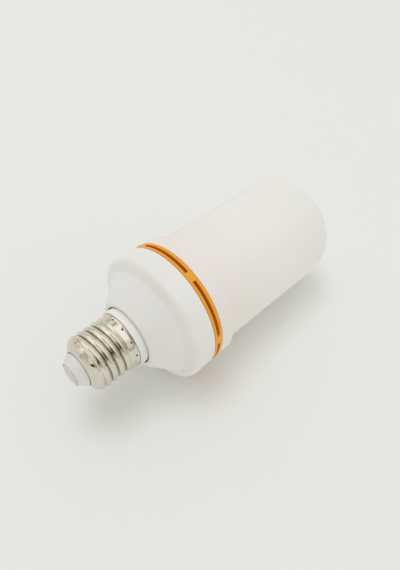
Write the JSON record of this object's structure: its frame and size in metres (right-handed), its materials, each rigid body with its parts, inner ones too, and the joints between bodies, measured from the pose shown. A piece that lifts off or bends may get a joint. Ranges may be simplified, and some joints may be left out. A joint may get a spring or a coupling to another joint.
{
  "type": "flame effect led bulb",
  "caption": "Screw-base flame effect LED lamp: tall frosted drum diffuser, slotted orange ring, white cone housing and nickel screw cap, with LED core and driver inside.",
  "frame": {"origin": "centre of the flat middle of the diffuser's end, on which the bulb stands head down", "axes": "+Z along the bulb's axis from the head towards the cap's centre contact; -Y towards the side that faces the camera in the picture"},
  "size_m": [0.0638, 0.0638, 0.1517],
  "materials": {
    "frosted_diffuser": "frosted, slightly warm translucent plastic",
    "ring_orange": "satin orange-gold plastic",
    "housing_white": "satin white moulded plastic",
    "sleeve_white": "satin white moulded plastic",
    "nickel_plate": "bright nickel plate on pressed brass",
    "insulator_white": "matt white insulator",
    "contact_metal": "satin tinned contact",
    "plate_metal": "plain sheet aluminium",
    "screw_steel": "zinc plate",
    "former_white": "plain white plastic",
    "flex_board": "white solder mask",
    "led_amber": "amber phosphor window",
    "circuit_board": "green solder mask",
    "capacitor_can": "bare aluminium can",
    "ferrite_black": "ferrite with heat-shrink",
    "film_yellow": "moulded case",
    "resistor_green": "coated body",
    "chip_black": "moulded epoxy",
    "sensor_grey": "moulded case",
    "lead_red": "insulated wire",
    "lead_black": "insulated wire"
  },
  "bodies": {
    "root": {"centre_contact": "contact_metal", "cap_insulator": "insulator_white", "screw_shell": "nickel_plate", "neck_sleeve": "sleeve_white", "housing": "housing_white", "vent_ring": "ring_orange", "diffuser": "frosted_diffuser", "mounting_plate": "plate_metal", "plate_screws": "screw_steel", "led_former": "former_white", "led_board": "flex_board", "side_leds": "led_amber", "end_board": "flex_board", "end_leds": "led_amber", "driver_board": "circuit_board", "filter_capacitor": "capacitor_can", "driver_inductor": "ferrite_black", "film_capacitor": "film_yellow", "fuse_resistor": "resistor_green", "bridge_rectifier": "chip_black", "driver_chip": "chip_black", "flame_controller": "chip_black", "tilt_sensor": "sensor_grey", "live_lead": "lead_red", "neutral_lead": "lead_black", "supply_lead_positive": "lead_red", "supply_lead_negative": "lead_black"}
  },
  "joints": []
}
